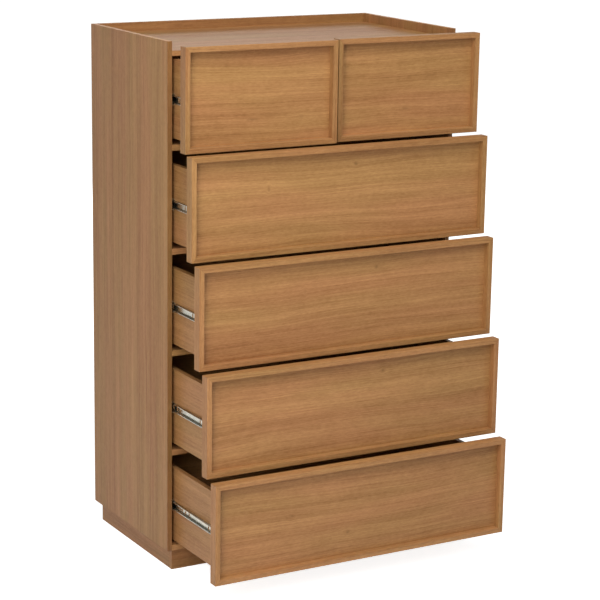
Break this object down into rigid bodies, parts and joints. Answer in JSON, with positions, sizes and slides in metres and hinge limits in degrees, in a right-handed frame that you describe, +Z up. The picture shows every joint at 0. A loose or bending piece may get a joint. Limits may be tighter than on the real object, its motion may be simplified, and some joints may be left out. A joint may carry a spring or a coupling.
{
  "type": "tall chest of drawers",
  "caption": "Tall wood-veneer chest on an inset plinth, with a low gallery and framed handleless drawer fronts on ball-bearing slides.",
  "frame": {"origin": "on the floor, below the centre of the case, on the underside of the plinth's centre bearer", "axes": "+Z up, +Y to the back of the case, +X to the right when facing the drawers; drawers pull out along -Y"},
  "size_m": [0.8, 0.69, 1.275],
  "materials": {
    "veneer": "satin oak-coloured veneer with straight grain",
    "drawer_board": "satin foil in the same oak colour",
    "drawer_base": "thin printed board",
    "back_board": "thin printed board",
    "zinc_steel": "bright zinc-plated rolled steel",
    "cage_steel": "zinc-plated ball cage with steel balls",
    "cam_zinc": "die-cast zinc"
  },
  "bodies": {
    "case": {"left_side_panel": "veneer", "right_side_panel": "veneer", "top_panel": "veneer", "bottom_panel": "veneer", "back_panel": "back_board", "gallery_rail": "veneer", "centre_divider": "veneer", "divider_shelf": "veneer", "cross_rail_upper": "veneer", "cross_rail_middle": "veneer", "cross_rail_lower": "veneer", "plinth_front": "veneer", "plinth_back": "veneer", "plinth_left": "veneer", "plinth_right": "veneer", "plinth_centre_bearer": "veneer", "case_slide_members": "zinc_steel", "cam_fasteners": "cam_zinc"},
    "drawer_top_left": {"drawer_top_left_front_frame": "veneer", "drawer_top_left_front_panel": "veneer", "drawer_top_left_box_sides": "drawer_board", "drawer_top_left_box_back": "drawer_board", "drawer_top_left_box_base": "drawer_base", "drawer_top_left_slide_members": "zinc_steel"},
    "drawer_top_left_cages": {"drawer_top_left_ball_cages": "cage_steel"},
    "drawer_top_right": {"drawer_top_right_front_frame": "veneer", "drawer_top_right_front_panel": "veneer", "drawer_top_right_box_sides": "drawer_board", "drawer_top_right_box_back": "drawer_board", "drawer_top_right_box_base": "drawer_base", "drawer_top_right_slide_members": "zinc_steel"},
    "drawer_top_right_cages": {"drawer_top_right_ball_cages": "cage_steel"},
    "drawer_row_2": {"drawer_row_2_front_frame": "veneer", "drawer_row_2_front_panel": "veneer", "drawer_row_2_box_sides": "drawer_board", "drawer_row_2_box_back": "drawer_board", "drawer_row_2_box_base": "drawer_base", "drawer_row_2_slide_members": "zinc_steel"},
    "drawer_row_2_cages": {"drawer_row_2_ball_cages": "cage_steel"},
    "drawer_row_3": {"drawer_row_3_front_frame": "veneer", "drawer_row_3_front_panel": "veneer", "drawer_row_3_box_sides": "drawer_board", "drawer_row_3_box_back": "drawer_board", "drawer_row_3_box_base": "drawer_base", "drawer_row_3_slide_members": "zinc_steel"},
    "drawer_row_3_cages": {"drawer_row_3_ball_cages": "cage_steel"},
    "drawer_row_4": {"drawer_row_4_front_frame": "veneer", "drawer_row_4_front_panel": "veneer", "drawer_row_4_box_sides": "drawer_board", "drawer_row_4_box_back": "drawer_board", "drawer_row_4_box_base": "drawer_base", "drawer_row_4_slide_members": "zinc_steel"},
    "drawer_row_4_cages": {"drawer_row_4_ball_cages": "cage_steel"},
    "drawer_row_5": {"drawer_row_5_front_frame": "veneer", "drawer_row_5_front_panel": "veneer", "drawer_row_5_box_sides": "drawer_board", "drawer_row_5_box_back": "drawer_board", "drawer_row_5_box_base": "drawer_base", "drawer_row_5_slide_members": "zinc_steel"},
    "drawer_row_5_cages": {"drawer_row_5_ball_cages": "cage_steel"}
  },
  "joints": [
    {"name": "drawer_top_left_slide", "type": "slide", "parent": "case", "child": "drawer_top_left", "axis": [0, -1, 0], "range_m": [-0.0805, 0.2195]},
    {"name": "drawer_top_left_cage_roll", "type": "slide", "parent": "case", "child": "drawer_top_left_cages", "axis": [0, -1, 0], "range_m": [-0.04035, 0.10985]},
    {"name": "drawer_top_right_slide", "type": "slide", "parent": "case", "child": "drawer_top_right", "axis": [0, -1, 0], "range_m": [-0.0665, 0.2335]},
    {"name": "drawer_top_right_cage_roll", "type": "slide", "parent": "case", "child": "drawer_top_right_cages", "axis": [0, -1, 0], "range_m": [-0.03335, 0.11685]},
    {"name": "drawer_row_2_slide", "type": "slide", "parent": "case", "child": "drawer_row_2", "axis": [0, -1, 0], "range_m": [-0.1135, 0.1865]},
    {"name": "drawer_row_2_cage_roll", "type": "slide", "parent": "case", "child": "drawer_row_2_cages", "axis": [0, -1, 0], "range_m": [-0.05685, 0.09335]},
    {"name": "drawer_row_3_slide", "type": "slide", "parent": "case", "child": "drawer_row_3", "axis": [0, -1, 0], "range_m": [-0.1535, 0.1465]},
    {"name": "drawer_row_3_cage_roll", "type": "slide", "parent": "case", "child": "drawer_row_3_cages", "axis": [0, -1, 0], "range_m": [-0.07685, 0.07335]},
    {"name": "drawer_row_4_slide", "type": "slide", "parent": "case", "child": "drawer_row_4", "axis": [0, -1, 0], "range_m": [-0.1935, 0.1065]},
    {"name": "drawer_row_4_cage_roll", "type": "slide", "parent": "case", "child": "drawer_row_4_cages", "axis": [0, -1, 0], "range_m": [-0.09685, 0.05335]},
    {"name": "drawer_row_5_slide", "type": "slide", "parent": "case", "child": "drawer_row_5", "axis": [0, -1, 0], "range_m": [-0.2385, 0.0615]},
    {"name": "drawer_row_5_cage_roll", "type": "slide", "parent": "case", "child": "drawer_row_5_cages", "axis": [0, -1, 0], "range_m": [-0.11935, 0.03085]}
  ],
  "couplings": [
    {"joint": "drawer_top_left_cage_roll", "follows": "drawer_top_left_slide", "ratio": 0.5},
    {"joint": "drawer_top_right_cage_roll", "follows": "drawer_top_right_slide", "ratio": 0.5},
    {"joint": "drawer_row_2_cage_roll", "follows": "drawer_row_2_slide", "ratio": 0.5},
    {"joint": "drawer_row_3_cage_roll", "follows": "drawer_row_3_slide", "ratio": 0.5},
    {"joint": "drawer_row_4_cage_roll", "follows": "drawer_row_4_slide", "ratio": 0.5},
    {"joint": "drawer_row_5_cage_roll", "follows": "drawer_row_5_slide", "ratio": 0.5}
  ]
}
